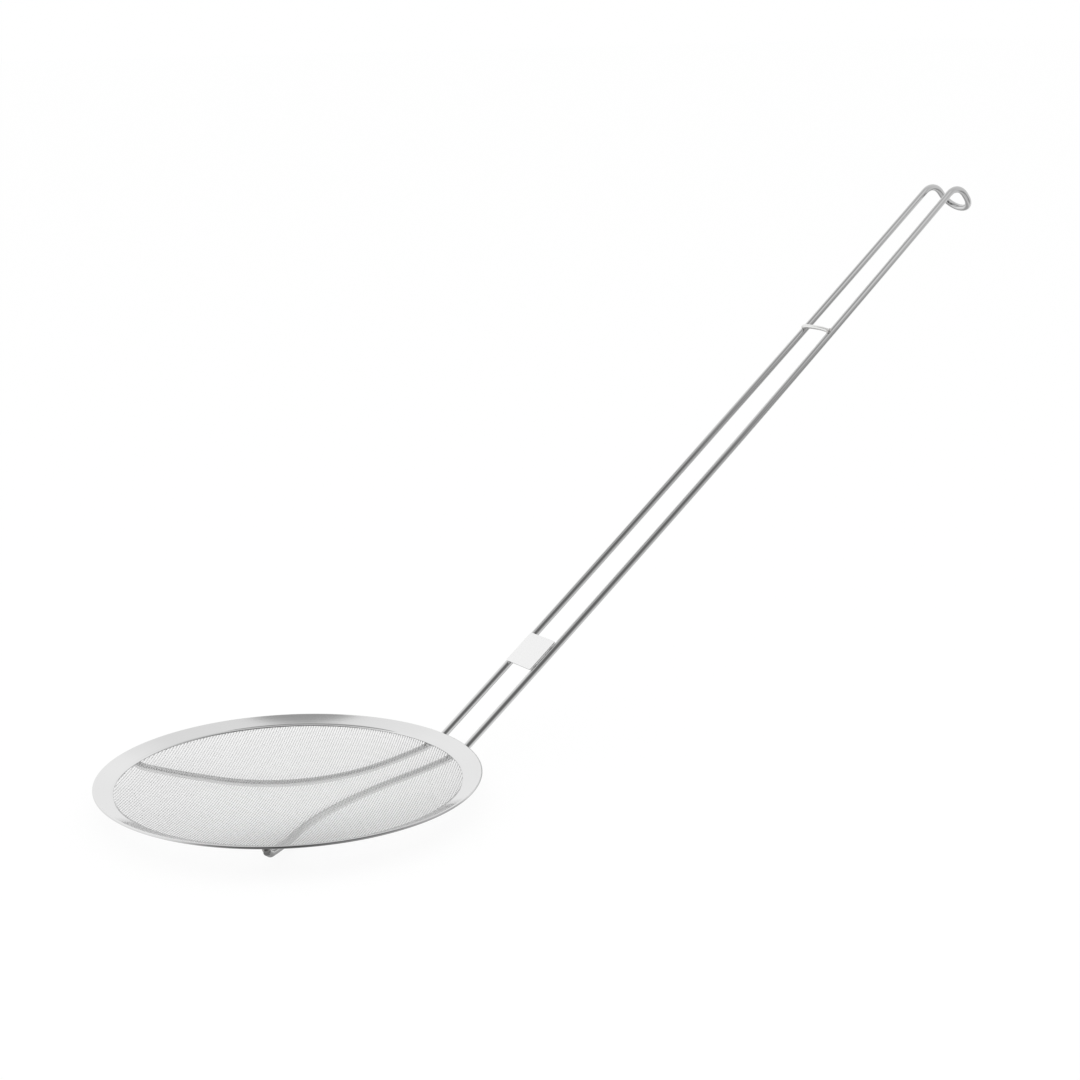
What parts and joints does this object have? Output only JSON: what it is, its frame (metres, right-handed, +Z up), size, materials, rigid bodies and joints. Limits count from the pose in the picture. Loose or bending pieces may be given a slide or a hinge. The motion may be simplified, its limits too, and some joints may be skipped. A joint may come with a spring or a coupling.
{
  "type": "mesh skimmer",
  "caption": "Shallow round dish of fine steel mesh in a folded sheet rim, on a long handle bent from one wire that ends in a closed hook.",
  "frame": {"origin": "middle of the underside of the whole object's box, with the rim lying level", "axes": "+X from the dish along the handle towards the hook, +Y across the handle, +Z up out of the open side of the dish"},
  "size_m": [0.5184, 0.18, 0.2636],
  "materials": {
    "rim_steel": "bright rolled stainless sheet with faint marks along the ring",
    "mesh_steel": "fine plain-woven stainless wire, satin",
    "wire_steel": "drawn stainless wire, bright with faint marks along its length",
    "cross_steel": "bright thin stainless wire",
    "plate_steel": "plain stainless sheet with a fine satin grain"
  },
  "bodies": {
    "root": {"rim_band": "rim_steel", "mesh_dish": "mesh_steel", "handle_wire": "wire_steel", "cross_wire": "cross_steel", "handle_plate": "plate_steel"}
  },
  "joints": []
}
